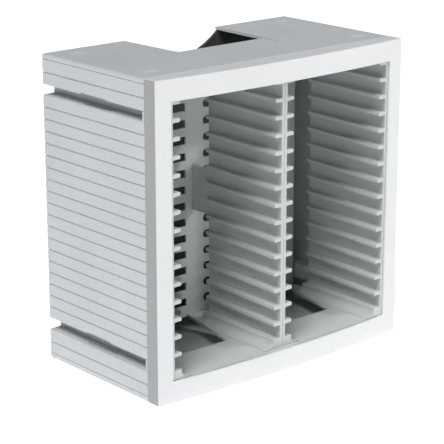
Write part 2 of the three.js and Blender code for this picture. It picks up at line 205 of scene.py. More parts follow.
# Openings in the bay floor
OPENING_FRONT = 53
OPENING_FRONT_WIDTH = 86
OPENING_BACK_WIDTH = 127.7
OPENING_CORNER = 2.5
FLOOR_SOFT_EDGE = 0.45
FLOOR_SOFT_STEPS = 3

# Rear cover and its screws
COVER = 3
COVER_CORNER = 0.8
COVER_RIM = 0.5
ARC_HALF = 65
ARC_SAG = 25
ARC_STEPS = 40
SCREW_SIDE = 9.5
SCREW_HEIGHTS = {"lower": 60, "middle": 165, "upper": 270}
SCREW_SIDES = 40
SCREW_HEAD = 3.6
SCREW_SEAT = 1.8
SEAT_CHAMFER = 0.4
SEAT_FLARE = 0.2
HEAD_SINK = 0.2
HEAD_UNDERCUT = 0.2
CROWN_WIDTH = 1.2
CROWN_HEIGHT = 0.7
CROWN_STEPS = 5
SHANK_RADIUS = 1.5
SHANK_END = -8
DRIVE_ARM = 2.3
DRIVE_ROOT = 0.45
DRIVE_TIP = 0.38
DRIVE_CORNER = 0.2
DRIVE_STEPS = 2
DRIVE_DEPTH = 1.3

# Moulded surfaces: noises, tone ramp, gloss and grain
DRIFT_SCALE = 9
MOTTLE_SCALE = 260
GLOSS_SCALE = 60
SOFT_DETAIL = 3
MOTTLE_DETAIL = 4
MOTTLE_WEIGHT = 0.5
DRIFT_WEIGHT = 0.5
RAMP_DARK = 0.36
RAMP_LIGHT = 0.62
NOISE_LOW = 0.3
NOISE_HIGH = 0.7
GLOSS_BELOW = 0.05
GLOSS_ABOVE = 0.06
GRAIN_STRENGTH = 0.35
SPECULAR = 0.4

# Painted shade on the side walls of the front frame: share of the usual tone that is kept, and depth of the
# layer
SIDE_SHADE_SHARE = 0.5
SIDE_SHADE_DEPTH = 0.4

# Stage and lights, in metres, watts and degrees
FLOOR_HALF = 9
FLOOR_TONE = 0.93
FLOOR_ROUGHNESS = 0.9
FLOOR_SPECULAR = 0.1
FLOOR_GLOW = 0.55
KEY_PLACE = Vector((1.9, -1.9, 1.5))
KEY_SIZE = 0.16
KEY_POWER = 29
SUN_PLACE = Vector((-1.1, -0.65, 2.1))
SUN_STRENGTH = 2.4
SUN_SPREAD = 25
SKY_COLOUR = (0.96, 0.98, 1, 1)
SKY_STRENGTH = 0.05
WHITE = (1, 1, 1, 1)
BLACK = (0, 0, 0, 1)

# Camera, in degrees and millimetres
AZIMUTH = -41.03
ELEVATION = 16.67
LENS = 138.96
SENSOR = 36
AIM_POINT = Vector((-9.83, -0.37, 143.53))
DISTANCE = 1824.8


# ---------------------------------------------------------------- outlines


def rounded(points, radius=0, steps=CORNER_STEPS):
    """A closed outline with its corners rounded; a point may carry its own radius as a third value."""
    out = []
    count = len(points)
    for i, point in enumerate(points):
        here = Vector(point[:2])
        size = point[2] if len(point) > 2 else radius
        before = Vector(points[i - 1][:2]) - here
        after = Vector(points[(i + 1) % count][:2]) - here
        turn = before.angle(after)
        if size <= 0 or turn > math.radians(STRAIGHT_ANGLE):
            out.append(tuple(here))
            continue
        longest = EDGE_SHARE * min(before.length, after.length)
        reach = min(size / math.tan(turn / 2), longest)
        size = reach * math.tan(turn / 2)
        before.normalize()
        after.normalize()
        start = here + before * reach
        end = here + after * reach
        middle = here + (before + after).normalized() * (size / math.sin(turn / 2))
        first = start - middle
        sweep = first.angle_signed(end - middle)
        for k in range(steps + 1):
            spin = Matrix.Rotation(-sweep * k / steps, 2)
            out.append(tuple(middle + spin @ first))
    return out


def arc(centre, radii, start, end, steps):
    """Points of an elliptical arc from one angle to another, with both ends."""
    turns = [start + (end - start) * k / steps for k in range(steps + 1)]
    return [(centre[0] + radii[0] * math.cos(t), centre[1] + radii[1] * math.sin(t)) for t in turns]


def arc_radius(half_width, rise):
    """Radius of the circular arc that rises this much over its chord."""
    return (half_width ** 2 + rise ** 2) / (2 * rise)


def area(points):
    """Area inside an outline, positive when it runs counterclockwise."""
    return sum(a[0] * b[1] - b[0] * a[1] for a, b in zip(points, points[1:] + points[:1])) / 2


def inset(points, amount):
    """The outline moved to its left by amount, with mitred corners."""
    moved = []
    count = len(points)
    for i, point in enumerate(points):
        here = Vector(point)
        a = (here - Vector(points[i - 1])).normalized()
        b = (Vector(points[(i + 1) % count]) - here).normalized()
        normal = Vector((-a.y - b.y, a.x + b.x))
        if normal.length < WELD:
            normal = Vector((-a.y, a.x))
        normal.normalize()
        lean = max(MITRE_LIMIT, normal.dot(Vector((-a.y, a.x))))
        moved.append(tuple(here + normal * (amount / lean)))
    return moved


def rectangle(x0, x1, z0, z1):
    return [(x0, z0), (x1, z0), (x1, z1), (x0, z1)]


def bow(x):
    """How far the bowed front stands ahead of its corners."""
    radius = arc_radius(HALF, FRONT_BOW)
    return FRONT_BOW - radius + math.sqrt(max(radius * radius - x * x, 0))


def rail_top(k):
    """Height of the face that slot k stands on."""
    return LEDGE_TOP + k * SLOT_PITCH


# ---------------------------------------------------------------- meshes


def scene_object(name, data):
    """A new object in the scene that shows a mesh, a light or a camera."""
    made = bpy.data.objects.new(name, data)
    bpy.context.scene.collection.objects.link(made)
    return made


def mesh_object(name, bm):
    """A new object from a bmesh, which is used up."""
    mesh = bpy.data.meshes.new(name)
    bm.to_mesh(mesh)
    bm.free()
    return scene_object(name, mesh)


def new_piece(name, bm):
    """A mesh object from a bmesh in millimetres, moved into the row frame in metres."""
    bmesh.ops.remove_doubles(bm, verts=bm.verts, dist=WELD)
    bmesh.ops.recalc_face_normals(bm, faces=bm.faces)
    for vert in bm.verts:
        vert.co = vert.co * MM + ORIGIN
    return mesh_object(name, bm)


def place(axis, u, v, w):
    """A point of an outline (u, v) at distance w along the axis."""
    return (u, w, v) if axis == "Y" else (u, v, w)


def add_prism(bm, outlines, start, end, axis="Y", rim=RIM, steps=RIM_STEPS):
    """Extrudes an outer outline with holes, and rounds the rims at both ends."""
    turns = [math.pi / 2 * k / steps for k in range(steps + 1)] if rim else [0]
    profile = [(rim * (1 - math.sin(t)), rim * (1 - math.cos(t))) for t in turns]
    levels = [(shrink, start + rise) for shrink, rise in profile]
    levels += [(shrink, end - rise) for shrink, rise in reversed(profile)]
    caps = [[], []]
    for i, outline in enumerate(outlines):
        ccw = area(outline) > 0
        turned = outline if ccw == (i == 0) else outline[::-1]
        rings = []
        for shrink, w in levels:
            ring = inset(turned, shrink)
            rings.append([bm.verts.new(place(axis, u, v, w)) for u, v in ring])
        for low, high in zip(rings, rings[1:]):
            for j in range(len(low)):
                bm.faces.new((low[j - 1], low[j], high[j], high[j - 1]))
        caps[0].append(rings[0])
        caps[1].append(rings[-1])
    for rings in caps:
        flat = [vert for ring in rings for vert in ring]
        for a, b, c in tessellate_polygon([[vert.co for vert in ring] for ring in rings]):
            bm.faces.new((flat[a], flat[b], flat[c]))
    bmesh.ops.recalc_face_normals(bm, faces=bm.faces)


def prism(name, outlines, start, end, axis="Y", rim=RIM, steps=RIM_STEPS):
    """A mesh object that is one extrusion."""
    bm = bmesh.new()
    add_prism(bm, outlines, start, end, axis, rim, steps)
    return new_piece(name, bm)


def turned_piece(name, profile, centre, axis="Z", sides=TURNED_SIDES):
    """A solid of revolution from a profile of (radius, height) that starts and ends on the axis."""
    bm = bmesh.new()
    turns = [2 * math.pi * k / sides for k in range(sides)]
    rings = []
    for radius, height in profile:
        if radius == 0:
            rings.append([bm.verts.new((0, 0, height))] * sides)
        else:
            circle = [(radius * math.cos(t), radius * math.sin(t), height) for t in turns]
            rings.append([bm.verts.new(point) for point in circle])
    for low, high in zip(rings, rings[1:]):
        for j in range(sides):
            corners = list(dict.fromkeys((low[j - 1], low[j], high[j], high[j - 1])))
            if len(corners) > 2:
                bm.faces.new(corners)
    if axis == "Y":
        bmesh.ops.rotate(bm, verts=bm.verts, matrix=Matrix.Rotation(DOWN, 3, "X"))
    bmesh.ops.translate(bm, verts=bm.verts, vec=centre)
    return new_piece(name, bm)


def apply_modifiers(piece):
    """Replaces a piece's mesh with what its modifiers make of it."""
    bpy.context.view_layer.update()
    evaluated = piece.evaluated_get(bpy.context.evaluated_depsgraph_get())
    mesh = bpy.data.meshes.new_from_object(evaluated)
    piece.modifiers.clear()
    old = piece.data
    piece.data = mesh
    mesh.name = piece.name
    bpy.data.meshes.remove(old)


def combine(piece, others, operation):
    """Cuts the other pieces out of a piece, or joins them to it, and removes them."""
    for other in others:
        modifier = piece.modifiers.new("combine", "BOOLEAN")
        modifier.operation = operation
        modifier.solver = "EXACT"
        modifier.object = other
    apply_modifiers(piece)
    for other in others:
        bpy.data.objects.remove(other, do_unlink=True)


def soften(piece, width, segments=RIM_STEPS):
    """Merges the flat faces of a cut piece and rounds the edges that the cut left sharp."""
    bm = bmesh.new()
    bm.from_mesh(piece.data)
    bmesh.ops.remove_doubles(bm, verts=bm.verts, dist=WELD * MM)
    bmesh.ops.dissolve_limit(bm, angle_limit=math.radians(FLAT_ANGLE), verts=bm.verts, edges=bm.edges)
    bm.to_mesh(piece.data)
    bm.free()
    modifier = piece.modifiers.new("soften", "BEVEL")
    modifier.width = width * MM
    modifier.segments = segments
    modifier.limit_method = "ANGLE"
    modifier.angle_limit = math.radians(SOFT_ANGLE)
    modifier.miter_outer = "MITER_ARC"
    apply_modifiers(piece)


def finish_piece(piece, material, node):
    """Gives a piece its shading, material and place in the frame, where it replaces a CAD node."""
    for polygon in piece.data.polygons:
        polygon.use_smooth = True
    modifier = piece.modifiers.new("normals", "WEIGHTED_NORMAL")
    modifier.mode = "FACE_AREA"
    modifier.weight = NORMAL_WEIGHT
    modifier.keep_sharp = True
    apply_modifiers(piece)
    piece.data.materials.clear()
    piece.data.materials.append(material)
    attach(piece, BODY)
    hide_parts(node)


def mirrored(piece, name):
    """A copy of a piece reflected in the rack's middle plane."""
    bm = bmesh.new()
    bm.from_mesh(piece.data)
    bmesh.ops.scale(bm, verts=bm.verts, vec=(-1, 1, 1))
    bmesh.ops.reverse_faces(bm, faces=bm.faces)
    return mesh_object(name, bm)


# ---------------------------------------------------------------- materials


def shader_node(tree, kind, **values):
    """A node with its inputs and settings filled in by name."""
    made = tree.nodes.new(kind)
    for key, value in values.items():
        if key in made.inputs:
            made.inputs[key].default_value = value
        else:
            setattr(made, key, value)
    return made


def maths(tree, operation, *values):
    """Output of a math node whose inputs are numbers or sockets."""
    made = shader_node(tree, "ShaderNodeMath", operation=operation)
    for slot, value in zip(made.inputs, values):
        if isinstance(value, bpy.types.NodeSocket):
            tree.links.new(value, slot)
        else:
            slot.default_value = value
    return made.outputs[0]


def object_coordinates(tree):
    return shader_node(tree, "ShaderNodeTexCoord").outputs["Object"]


def noise(tree, coordinates, scale, detail):
    made = shader_node(tree, "ShaderNodeTexNoise", Scale=scale, Detail=detail)
    tree.links.new(coordinates, made.inputs["Vector"])
    return made.outputs["Fac"]


def ranged(tree, value, low, high):
    """A noise value stretched to run from low to high."""
    made = shader_node(tree, "ShaderNodeMapRange")
    made.inputs["From Min"].default_value = NOISE_LOW
    made.inputs["From Max"].default_value = NOISE_HIGH
    made.inputs["To Min"].default_value = low
    made.inputs["To Max"].default_value = high
    tree.links.new(value, made.inputs["Value"])
    return made.outputs["Result"]


def toned(tree, coordinates, light, dark):
    """Colour that drifts between two tones, with a finer mottle in it."""
    drift = noise(tree, coordinates, DRIFT_SCALE, SOFT_DETAIL)
    mottle = noise(tree, coordinates, MOTTLE_SCALE, MOTTLE_DETAIL)
    share = maths(tree, "MULTIPLY_ADD", mottle, MOTTLE_WEIGHT, maths(tree, "MULTIPLY", drift, DRIFT_WEIGHT))
    ramp = shader_node(tree, "ShaderNodeValToRGB")
    low, high = ramp.color_ramp.elements
    low.position = RAMP_DARK
    low.color = (*dark, 1)
    high.position = RAMP_LIGHT
    high.color = (*light, 1)
    tree.links.new(share, ramp.inputs["Fac"])
    return ramp.outputs["Color"]


def moulded(name, light, dark, roughness, grain, grain_depth, specular=SPECULAR, metallic=0):
    """A surface with a broad drift of tone, a fine grain and uneven gloss."""
    material = bpy.data.materials.new(name)
    material.use_nodes = True
    tree = material.node_tree
    shader = tree.nodes["Principled BSDF"]
    shader.inputs["Specular IOR Level"].default_value = specular
    shader.inputs["Metallic"].default_value = metallic
    coordinates = object_coordinates(tree)
    tree.links.new(toned(tree, coordinates, light, dark), shader.inputs["Base Color"])
    patches = noise(tree, coordinates, GLOSS_SCALE, SOFT_DETAIL)
    gloss = ranged(tree, patches, roughness - GLOSS_BELOW, roughness + GLOSS_ABOVE)
    tree.links.new(gloss, shader.inputs["Roughness"])
    bump = shader_node(tree, "ShaderNodeBump", Strength=GRAIN_STRENGTH, Distance=grain_depth * MM)
    tree.links.new(noise(tree, coordinates, grain, SOFT_DETAIL), bump.inputs["Height"])
    tree.links.new(bump.outputs["Normal"], shader.inputs["Normal"])
    return material


def paint_side_shade(material, edge, share):
    """Paints shade on a material: darkens it to a share of its tone where it is farther than edge from the
    middle plane.
    """
    tree = material.node_tree
    shader = tree.nodes["Principled BSDF"]
    tone = shader.inputs["Base Color"].links[0].from_socket
    split = shader_node(tree, "ShaderNodeSeparateXYZ")
    tree.links.new(object_coordinates(tree), split.inputs[0])
    outside = maths(tree, "GREATER_THAN", maths(tree, "ABSOLUTE", split.outputs["X"]), edge)
    mix = shader_node(tree, "ShaderNodeMixRGB", blend_type="MULTIPLY")
    mix.inputs[2].default_value = BLACK
    tree.links.new(maths(tree, "MULTIPLY", outside, 1 - share), mix.inputs[0])
    tree.links.new(tone, mix.inputs[1])
    tree.links.new(mix.outputs[0], shader.inputs["Base Color"])


FRAME_PLASTIC = moulded("frame_plastic", (0.74, 0.75, 0.76), (0.70, 0.71, 0.725), 0.42, 1700, 0.03)
# The side walls of the front frame get painted shade, standing in for the shade that falls on them.
paint_side_shade(FRAME_PLASTIC, (HALF - SIDE_SHADE_DEPTH) * MM, SIDE_SHADE_SHARE)
SHELL_PLASTIC = moulded("shell_plastic", (0.60, 0.62, 0.635), (0.55, 0.57, 0.585), 0.5, 1300, 0.06)
INSERT_PLASTIC = moulded("insert_plastic", (0.56, 0.595, 0.59), (0.52, 0.555, 0.55), 0.45, 1700, 0.03)
# The rear cover is coloured near black as painted shade, which darkens the windows and the notch where the
# inside of the rack lies in shade.
COVER_PAINTED_SHADE = moulded("cover_painted_shade", (0.09, 0.097, 0.095), (0.075, 0.082, 0.08), 0.55, 1300, 0.06)
FOOT_RUBBER = moulded("foot_rubber", (0.03, 0.03, 0.032), (0.018, 0.018, 0.02), 0.75, 900, 0.06, 0.3)
SCREW_STEEL = moulded("screw_steel", (0.62, 0.62, 0.64), (0.48, 0.48, 0.5), 0.33, 2200, 0.02, 0.5, 1.0)


# ---------------------------------------------------------------- front frame


def bend(piece):
    """Subdivides a straight frame across its width and bows its front."""
    bm = bmesh.new()
    bm.from_mesh(piece.data)
    for k in range(1, BOW_STEPS):
        x = (-HALF + WIDTH * k / BOW_STEPS) * MM
        geometry = bm.verts[:] + bm.edges[:] + bm.faces[:]
        bmesh.ops.bisect_plane(bm, geom=geometry, dist=WELD * MM, plane_co=(x, 0, 0), plane_no=(1, 0, 0))
    seam = ORIGIN.y + FRAME_DEPTH * MM
    for vert in bm.verts:
        share = min(max((seam - vert.co.y) / (FRAME_DEPTH * MM), 0), 1)
        vert.co.y -= bow(vert.co.x / MM) * MM * share
    bm.to_mesh(piece.data)
    bm.free()


def front_frame():
    """The bowed frame, with a rebate behind its lip that takes the bays."""
    drop = INNER_SKIN + GAP
    side = INNER_HALF + drop
    outer = rounded(rectangle(-HALF, HALF, 0, HEIGHT), FRAME_CORNER)
    inner = rounded(rectangle(-side, side, SLOT_FLOOR, SLOT_CEILING), FRAME_MOUTH_CORNER)
    piece = prism("front_bezel", [outer, inner], 0, FRAME_DEPTH, rim=FRAME_RIM, steps=FINE_RIM_STEPS)
    bend(piece)
    shape = rectangle(-side, side, SLOT_FLOOR - drop, SLOT_CEILING + drop)
    rebate = prism("rebate", [shape], LIP, FRAME_DEPTH + OVER, rim=0)
    bend(rebate)
    combine(piece, [rebate], "DIFFERENCE")
    finish_piece(piece, FRAME_PLASTIC, "front_frame")


# ---------------------------------------------------------------- top and bottom


def plate_section(skirt, face, direction):
    """Section of a plate with a skirt along each side, rounded at its outer corners."""
    inner = face + direction * PLATE
    edge = face + direction * skirt
    side = HALF - SIDE_SKIN
    corners = [(-HALF, edge, BREAK), (-HALF, face, EDGE_RADIUS), (HALF, face, EDGE_RADIUS),
               (HALF, edge, BREAK), (side, edge, BREAK), (side, inner, 2 * BREAK),
               (-side, inner, 2 * BREAK), (-side, edge, BREAK)]
    return rounded(corners, steps=PLATE_STEPS)


def panel_plate(name, section):
    """A top or bottom plate that runs from the front frame to the rear."""
    return prism(name, [section], PANEL_FRONT, SIDE_DEPTH, rim=PLATE_RIM, steps=FINE_RIM_STEPS)


def foot_centres():
    """Centres in plan of the feet and of the dimples above them."""
    x = HALF - FOOT_SIDE
    return {"front_left": (-x, FOOT_FRONT), "front_right": (x, FOOT_FRONT),
            "rear_left": (-x, FOOT_BACK), "rear_right": (x, FOOT_BACK)}


def dimple(x, y):
    """Cutter for a shallow round hollow in the top."""
    sphere = arc_radius(DIMPLE_RADIUS, DIMPLE_DEPTH)
    reach = math.asin(DIMPLE_RADIUS / sphere)
    bowl = arc((0, sphere - DIMPLE_DEPTH), (sphere, sphere), DOWN, DOWN + reach, DIMPLE_STEPS)
    mouth = DIMPLE_RADIUS + DIMPLE_FLARE
    profile = [(0, -DIMPLE_DEPTH)] + bowl[1:] + [(mouth, DIMPLE_FLARE_RISE), (mouth, OVER), (0, OVER)]
    return turned_piece("dimple", profile, (x, y, HEIGHT), sides=WIDE_TURNED_SIDES)


def label_recess():
    """Cutter for the plain shallow recess in front of the notch, with one large round corner."""
    side = NOTCH_FRONT_HALF - LABEL_WALL
    low = NOTCH_FRONT - LABEL_WIDTH
    back = NOTCH_FRONT + OVER
    corners = [(-side, back), (-side, low, LABEL_CORNER), (side, low, LABEL_SMALL_CORNER), (side, back)]
    shape = rounded(corners, steps=LABEL_STEPS)
    return prism("label_cut", [shape], HEIGHT - LABEL_DEPTH, HEIGHT + OVER, "Z", rim=0)


def notch_cut():
    """Cutter for the notch in the rear edge of the top, which widens to the rear."""
    slope = (NOTCH_BACK_HALF - NOTCH_FRONT_HALF) / (SIDE_DEPTH - NOTCH_FRONT)
    past = NOTCH_BACK_HALF + slope * OVER
    back = SIDE_DEPTH + OVER
    corners = [(-NOTCH_FRONT_HALF, NOTCH_FRONT, NOTCH_CORNER), (NOTCH_FRONT_HALF, NOTCH_FRONT, NOTCH_CORNER),
               (past, back), (-past, back)]
    shape = rounded(corners, steps=PLATE_STEPS)
    return prism("notch", [shape], HEIGHT / 2, HEIGHT + OVER, "Z", rim=0)


def top_panel():
    piece = panel_plate("top_cover", plate_section(CAP, HEIGHT, -1))
    cuts = [dimple(x, y) for x, y in foot_centres().values()]
    combine(piece, [notch_cut(), label_recess()] + cuts, "DIFFERENCE")
    soften(piece, PLATE_SOFT_EDGE)
    finish_piece(piece, SHELL_PLASTIC, "top_panel")


def bottom_panel():
    piece = panel_plate("base_plate", plate_section(BASE, 0, 1))
    radius = FOOT_RADIUS + GAP
    top = FOOT_HEIGHT - FOOT_DROP + GAP
    profile = [(0, -OVER), (radius, -OVER), (radius, top), (0, top)]
    seats = []
    for x, y in foot_centres().values():
        seats.append(turned_piece("seat", profile, (x, y, 0), sides=WIDE_TURNED_SIDES))
    combine(piece, seats, "DIFFERENCE")
    soften(piece, PLATE_SOFT_EDGE)
    finish_piece(piece, SHELL_PLASTIC, "bottom_panel")


def feet():
    """Four pads that stand on a ring around a shallow hollow."""
    ring = FOOT_RADIUS - FOOT_RING
    profile = [(0, FOOT_HOLLOW), (ring - FOOT_RING_SLOPE, FOOT_HOLLOW), (ring, 0)]
    profile += arc((FOOT_RADIUS - FOOT_EDGE, FOOT_EDGE), (FOOT_EDGE, FOOT_EDGE), DOWN, 0, FOOT_EDGE_STEPS)
    profile += [(FOOT_RADIUS, FOOT_HEIGHT - BREAK), (FOOT_RADIUS - BREAK, FOOT_HEIGHT), (0, FOOT_HEIGHT)]
    for place_name, (x, y) in foot_centres().items():
        piece = turned_piece(f"pad_{place_name}", profile, (x, y, -FOOT_DROP))
        finish_piece(piece, FOOT_RUBBER, f"foot_{place_name}")


# ---------------------------------------------------------------- ribbed sides


def side_layout():
    """Heights of the plank joints, and the top and bottom of the two link channels."""
    fixed = CAP + BASE + LINK_TOP + LINK_BOTTOM + 2 * STRIP
    pitch = (HEIGHT - fixed) / MAIN_PLANKS
    upper_top = HEIGHT - CAP - STRIP
    upper = (upper_top, upper_top - LINK_TOP)
    lower_top = upper[1] - MAIN_PLANKS * pitch
    lower = (lower_top, lower_top - LINK_BOTTOM)
    joints = [HEIGHT - CAP - END_PLANK, lower[1] - END_PLANK]
    joints += [upper[1] - k * pitch for k in range(1, MAIN_PLANKS)]
    return sorted(joints, reverse=True), upper, lower


def skin(name, top, bottom):
    """One ribbed skin of the left side, with a groove under each plank."""
    joints, _, _ = side_layout()
    floor = GROOVE_DEPTH - HALF
    inside = SIDE_SKIN - HALF
    outer = [(-HALF, top, SKIN_CORNER)]
    for z in joints:
        if bottom < z < top:
            lip = z + PLANK_GROOVE / 2
            outer += [(-HALF, lip, GROOVE_LIP), (floor, lip, GROOVE_CORNER), (floor, z, GROOVE_CORNER),
                      (-HALF, z - PLANK_GROOVE, PLANK_SHOULDER)]
    outer += [(-HALF, bottom, SKIN_CORNER), (inside, bottom, BREAK), (inside, top, BREAK)]
    return prism(name, [rounded(outer, steps=COARSE_STEPS)], PANEL_FRONT, SIDE_DEPTH)


def cutter(x0, x1, y0, y1, z0, z1, corner):
    """An upright block with rounded corners in plan."""
    return prism("cutter", [rounded(rectangle(x0, x1, y0, y1), corner)], z0, z1, "Z", rim=0)


def lift_cut(link_top):
    """Cutter that lifts the lower edge of a skin over the long key pocket."""
    return cutter(-HALF - OVERLAP, SIDE_SKIN + OVERLAP - HALF, POCKET_START, POCKET_START + POCKET_LENGTH,
                  link_top - OVERLAP, link_top + POCKET_LIFT, LIFT_CORNER)


def link_channel(name, link):
    """A channel of three walls, closed at the front, with a long and a short key pocket in its ledge."""
    top, bottom = link
    mouth = SIDE_SKIN + GAP - HALF
    back = LINK_DEPTH - HALF
    wall = LINK_WALL
    shape = rounded(rectangle(mouth, back + wall, bottom - wall, top + wall), LINK_CORNER, COARSE_STEPS)
    piece = prism(name, [shape], PANEL_FRONT, SIDE_DEPTH, rim=BREAK)
    stop = PANEL_FRONT + wall
    web = rounded(rectangle(-HALF, mouth + OVERLAP, bottom + GAP, top - GAP), BREAK, COARSE_STEPS)
    combine(piece, [prism("web", [web], PANEL_FRONT + SEAM, stop + OVERLAP, rim=BREAK)], "UNION")
    outside = -HALF - OVER
    hollow = rounded([(outside, bottom), (back, bottom, LINK_HOLLOW_CORNER),
                      (back, top, LINK_HOLLOW_CORNER), (outside, top)])
    cuts = [prism("hollow", [hollow], stop, SIDE_DEPTH + OVER, rim=0)]
    near = POCKET_INSET - HALF
    for start, length in ((POCKET_START, POCKET_LENGTH), (KEY_START, KEY_LENGTH)):
        cuts.append(cutter(near, near + POCKET_WIDTH, start, start + length,
                           bottom - POCKET_DEPTH, bottom + OVERLAP, POCKET_CORNER))
    combine(piece, cuts, "DIFFERENCE")
    soften(piece, LINK_SOFT_EDGE)
    return piece


def sides():
    """The five pieces of the left side, and their mirror images on the right."""
    _, upper, lower = side_layout()
    strip = skin("left_upper_planks", HEIGHT - CAP - GAP, upper[0])
    combine(strip, [lift_cut(upper[0])], "DIFFERENCE")
    main = skin("left_planks", upper[1], lower[0])
    combine(main, [lift_cut(lower[0])], "DIFFERENCE")
    made = {
        "upper_side_strip": strip,
        "upper_link_channel": link_channel("left_upper_channel", upper),
        "side_panel": main,
        "lower_link_channel": link_channel("left_lower_channel", lower),
        "lower_side_strip": skin("left_lower_planks", lower[1], BASE + GAP),
    }
    for node_name, piece in made.items():
        other = mirrored(piece, piece.name.replace("left", "right"))
        finish_piece(piece, SHELL_PLASTIC, f"left_{node_name}")
        finish_piece(other, SHELL_PLASTIC, f"right_{node_name}")


# ---------------------------------------------------------------- rear cover


def screw_places():
    """Centres of the cover screws, as (x, z)."""
    x = HALF - SCREW_SIDE
    return {f"{level}_{side}": (sign * x, z) for level, z in SCREW_HEIGHTS.items()
            for side, sign in (("left", -1), ("right", 1))}


def cover_outline():
    """Outline of the rear cover, stepped around the link channels, with an arc in its top edge."""
    _, upper, lower = side_layout()
    side = HALF - SIDE_SKIN - GAP
    link_side = HALF - LINK_DEPTH - LINK_WALL - GAP
    margin = LINK_WALL + GAP
    low, high = PLATE + GAP, HEIGHT - PLATE - GAP
    edge = [(side, low)]
    for top, bottom in (lower, upper):
        edge += [(side, bottom - margin), (link_side, bottom - margin)]
        edge += [(link_side, top + margin), (side, top + margin)]
    edge.append((side, high))
    radius = arc_radius(ARC_HALF, ARC_SAG)
    reach = math.asin(ARC_HALF / radius)
    dip = arc((0, high - ARC_SAG + radius), (radius, radius), DOWN + reach, DOWN - reach, ARC_STEPS)
    left = [(-x, z) for x, z in reversed(edge)]
    return rounded(edge + [(x, z, 0) for x, z in dip] + left, COVER_CORNER)


def rear_cover():
    """The flat cover, near black with painted shade, with a chamfered seat for each screw head."""
    piece = prism("back_cover", [cover_outline()], SIDE_DEPTH - COVER, SIDE_DEPTH, rim=COVER_RIM,
                  steps=FINE_RIM_STEPS)
    hole = SCREW_HEAD + GAP
    seat = -SCREW_SEAT - GAP
    mouth = hole + SEAT_CHAMFER + SEAT_FLARE
    profile = [(0, seat), (hole, seat), (hole, -SEAT_CHAMFER), (mouth, SEAT_FLARE), (mouth, OVER), (0, OVER)]
    seats = [turned_piece("seat", profile, (x, SIDE_DEPTH, z), "Y") for x, z in screw_places().values()]
    combine(piece, seats, "DIFFERENCE")
    finish_piece(piece, COVER_PAINTED_SHADE, "rear_cover")


def drive_cross(x, z):
    """Outline of the cross in a screw head, whose four arms narrow outwards."""
    corners = []
    for across, up in ((1, 0), (0, 1), (-1, 0), (0, -1)):
        for out, aside in ((DRIVE_ARM, -DRIVE_TIP), (DRIVE_ARM, DRIVE_TIP), (DRIVE_ROOT, DRIVE_ROOT)):
            corners.append((x + out * across - aside * up, z + out * up + aside * across))
    return rounded(corners, DRIVE_CORNER, DRIVE_STEPS)


def screws():
    """Six cover screws, each with a plain shank, a domed head and a cross drive."""
    seat = -SCREW_SEAT
    profile = [(0, SHANK_END), (SHANK_RADIUS, SHANK_END), (SHANK_RADIUS, seat),
               (SCREW_HEAD - HEAD_UNDERCUT, seat), (SCREW_HEAD, seat + BREAK)]
    profile += arc((SCREW_HEAD - CROWN_WIDTH, -HEAD_SINK - CROWN_HEIGHT), (CROWN_WIDTH, CROWN_HEIGHT),
                   0, math.pi / 2, CROWN_STEPS)
    profile.append((0, -HEAD_SINK))
    for place_name, (x, z) in screw_places().items():
        piece = turned_piece(f"screw_{place_name}", profile, (x, SIDE_DEPTH, z), "Y", SCREW_SIDES)
        drive = prism("drive", [drive_cross(x, z)], SIDE_DEPTH - DRIVE_DEPTH, SIDE_DEPTH + OVER, rim=0)
        combine(piece, [drive], "DIFFERENCE")
        finish_piece(piece, SCREW_STEEL, f"cover_screw_{place_name}")


# ---------------------------------------------------------------- bays


def comb(skin_width, front_face):
    """Section of a rail wall that faces +X, from its base ledge to its top block."""
    tip = front_face + skin_width + RAIL_REACH
    root = front_face + skin_width
    low, high = SLOT_FLOOR + SEAM, SLOT_CEILING - GAP
    toe = low + LEDGE_TOE
    rise = LEDGE_TOP - LEDGE_EDGE - toe
    outline = [(front_face, low), (tip + LEDGE_FILLET, low)]
    for k in range(LEDGE_STEPS):
        t = k / LEDGE_STEPS
        outline.append((tip + LEDGE_FILLET * (1 - t) ** 2, toe + rise * t * t))
    outline += [(tip, LEDGE_TOP, RAIL_TIP_CORNER), (root, LEDGE_TOP, RAIL_ROOT_CORNER)]
    for k in range(1, SLOTS):
        top = rail_top(k)
        under = top - RAIL_THICK
        outline += [(root, under, RAIL_ROOT_CORNER), (tip, under + RAIL_DRAFT, RAIL_TIP_CORNER),
                    (tip, top, RAIL_TIP_CORNER), (root, top, RAIL_ROOT_CORNER)]
    block = rail_top(SLOTS) - RAIL_THICK
    outline += [(root, block, RAIL_ROOT_CORNER), (tip, block, RAIL_TIP_CORNER), (tip, high, BREAK),
                (front_face, high)]
    return rounded(outline, steps=COARSE_STEPS)


def taper(bm, root):
    """Narrows the rails and the top block towards the rear; the base ledge keeps its width."""
    for vert in bm.verts:
        if vert.co.z > LEDGE_TOP + GAP and vert.co.x > root:
            share = (vert.co.y - RAIL_FRONT) / (RAIL_END - RAIL_FRONT)
            vert.co.x = root + (vert.co.x - root) * (1 - share * (1 - RAIL_REACH_REAR / RAIL_REACH))


def rail_wall(name, skin_width, front_face):
    """A rail wall that faces +X, with its part of the floor opening cut from the base ledge."""
    bm = bmesh.new()
    section = comb(skin_width, front_face)
    add_prism(bm, [section], RAIL_FRONT, RAIL_END, rim=RAIL_RIM, steps=FINE_RIM_STEPS)
    taper(bm, front_face + skin_width)
    piece = new_piece(name, bm)
    combine(piece, floor_openings(), "DIFFERENCE")
    return piece


